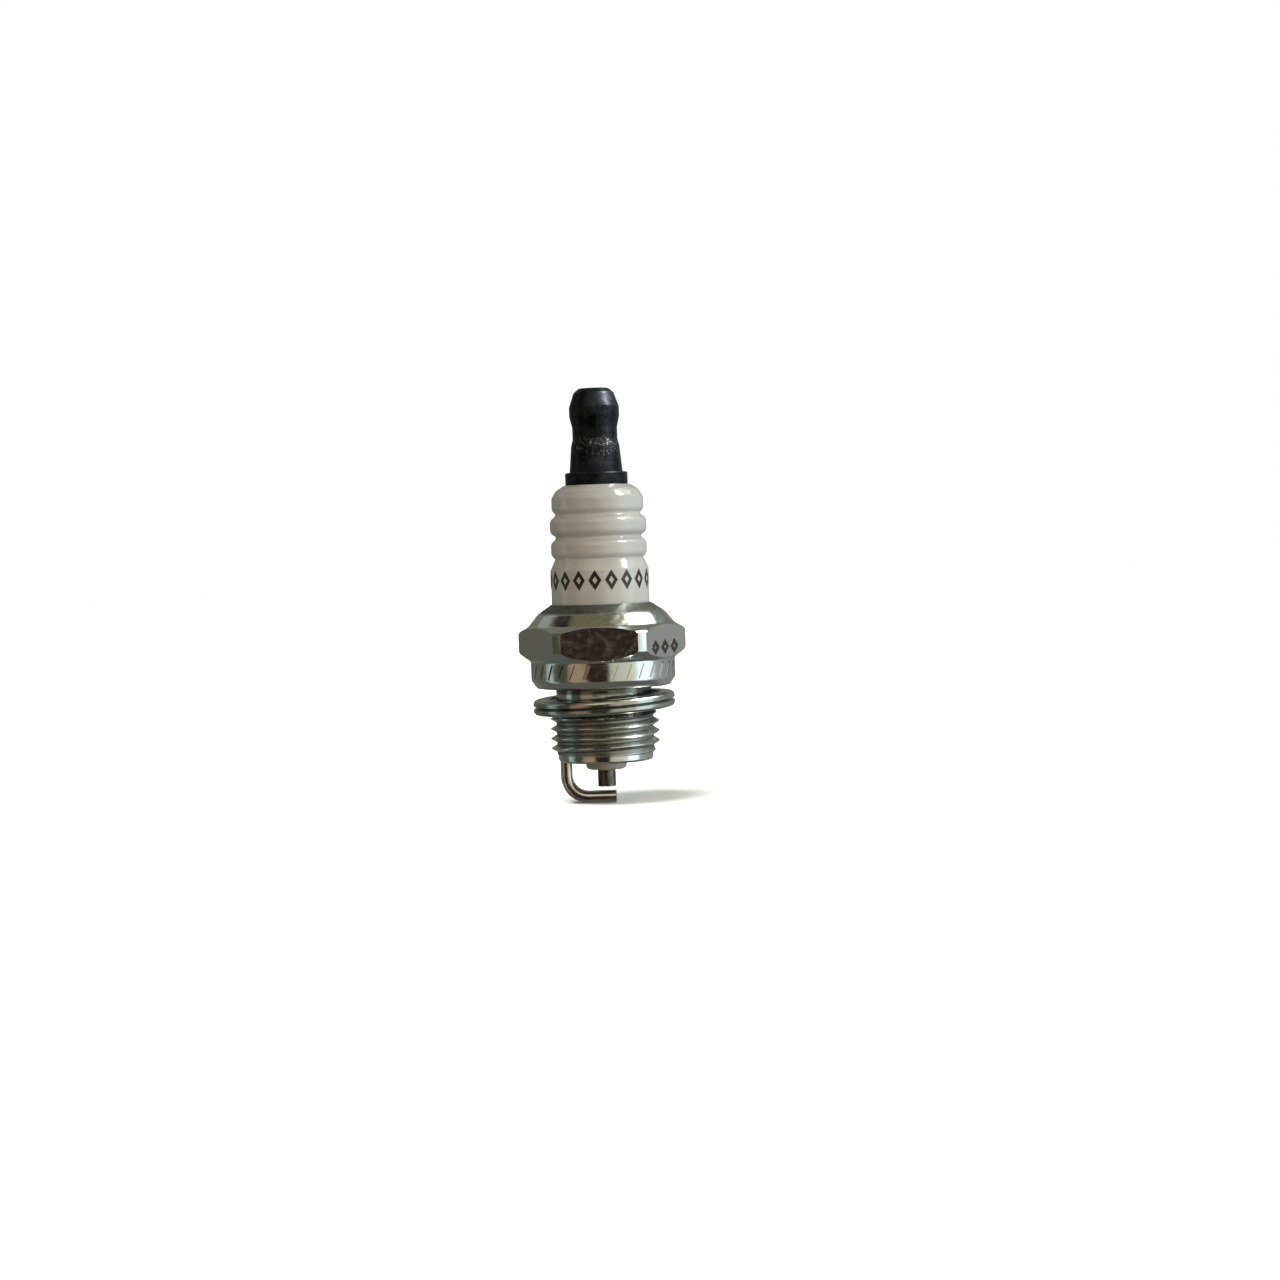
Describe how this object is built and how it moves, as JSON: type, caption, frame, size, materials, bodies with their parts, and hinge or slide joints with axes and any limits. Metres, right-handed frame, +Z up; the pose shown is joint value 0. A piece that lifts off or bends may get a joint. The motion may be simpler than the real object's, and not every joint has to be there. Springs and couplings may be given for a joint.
{
  "type": "spark plug",
  "caption": "Short-reach spark plug: ribbed ceramic insulator crimped in a hexagonal threaded steel shell, with a screw-on terminal, a loose gasket and an L-shaped ground electrode.",
  "frame": {"origin": "centre of the shell's seat, the flat underside of its boss, on the thread's axis", "axes": "+Z up the plug's axis to the terminal; -Z is the way the thread screws in; the ground electrode's leg is on -X and a hexagon flat faces -Y"},
  "size_m": [0.0212, 0.019, 0.0526],
  "materials": {
    "plated_steel": "bright zinc or nickel plating",
    "electrode_nickel": "drawn nickel alloy",
    "gasket_steel": "plated sheet steel",
    "glazed_insulator": "glossy white glaze",
    "black_oxide_steel": "blue-black oxide, slightly worn",
    "stud_steel": "plain steel",
    "glass_seal": "fired conductive glass",
    "resistor_compound": "carbon-filled ceramic",
    "copper": "bare copper",
    "talc": "pressed powder"
  },
  "bodies": {
    "shell_body": {"shell": "plated_steel", "ground_electrode": "electrode_nickel", "insulator": "glazed_insulator", "terminal_stud": "stud_steel", "upper_glass_seal": "glass_seal", "resistor": "resistor_compound", "lower_glass_seal": "glass_seal", "centre_electrode": "electrode_nickel", "copper_core": "copper", "seat_washer": "gasket_steel", "lower_sill_ring": "gasket_steel", "talc_packing": "talc", "upper_sill_ring": "gasket_steel"},
    "gasket_body": {"gasket": "gasket_steel"},
    "nut_body": {"terminal_nut": "black_oxide_steel"}
  },
  "joints": [
    {"name": "gasket_float", "type": "slide", "parent": "shell_body", "child": "gasket_body", "axis": [0, 0, 1], "range_m": [0, 0.00062]},
    {"name": "nut_off", "type": "slide", "parent": "shell_body", "child": "nut_body", "axis": [0, 0, 1], "range_m": [0, 0.0095]}
  ]
}
